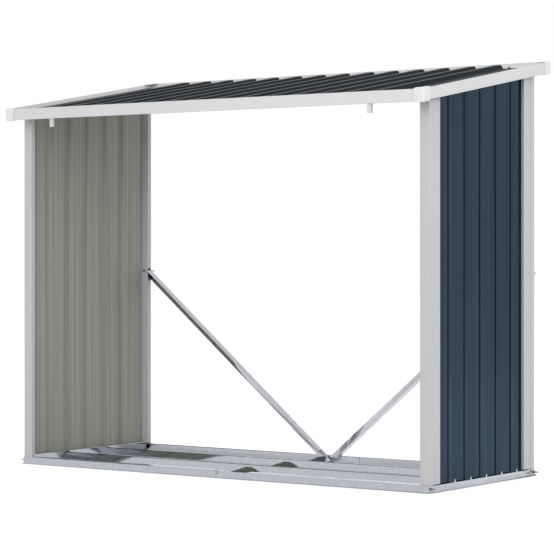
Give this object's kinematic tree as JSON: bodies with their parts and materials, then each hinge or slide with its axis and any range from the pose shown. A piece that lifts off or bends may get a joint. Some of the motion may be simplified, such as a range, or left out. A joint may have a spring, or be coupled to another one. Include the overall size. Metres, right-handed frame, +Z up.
{
  "type": "flat-pack steel log store",
  "caption": "Open-fronted log store with ribbed steel end walls, a low-pitched ribbed roof in a white fascia frame, folded posts, a galvanised base frame and diagonal back braces.",
  "frame": {"origin": "middle of the base frame's footprint, on the ground", "axes": "+X along the length towards the right end wall seen from the front, +Y from the open front to the back, +Z up"},
  "size_m": [1.904, 0.906, 1.5395],
  "materials": {
    "galvanised": "bright galvanised sheet",
    "white_steel": "satin white coated sheet",
    "wall_sheet": "glossy anthracite coated sheet, olive-grey backing coat inside",
    "roof_sheet": "satin anthracite coated sheet",
    "cap_plastic": "white moulded plastic"
  },
  "bodies": {
    "root": {"front_base_rail_left": "galvanised", "front_base_rail_right": "galvanised", "rear_base_rail_left": "galvanised", "rear_base_rail_right": "galvanised", "front_rail_sleeve": "galvanised", "rear_rail_sleeve": "galvanised", "left_base_rail": "galvanised", "right_base_rail": "galvanised", "front_floor_rail": "galvanised", "rear_floor_rail": "galvanised", "front_cross_strap": "galvanised", "middle_cross_strap": "galvanised", "rear_cross_strap": "galvanised", "front_left_post": "white_steel", "front_right_post": "white_steel", "rear_left_post": "white_steel", "rear_right_post": "white_steel", "left_wall": "wall_sheet", "right_wall": "wall_sheet", "front_beam": "white_steel", "rear_beam": "white_steel", "left_beam": "white_steel", "right_beam": "white_steel", "front_left_cap": "cap_plastic", "front_right_cap": "cap_plastic", "rear_left_cap": "cap_plastic", "rear_right_cap": "cap_plastic", "roof_sheet_left": "roof_sheet", "roof_sheet_middle": "roof_sheet", "roof_sheet_right": "roof_sheet", "left_brace": "galvanised", "right_brace": "galvanised", "left_hanging_tab": "white_steel", "right_hanging_tab": "white_steel"}
  },
  "joints": []
}
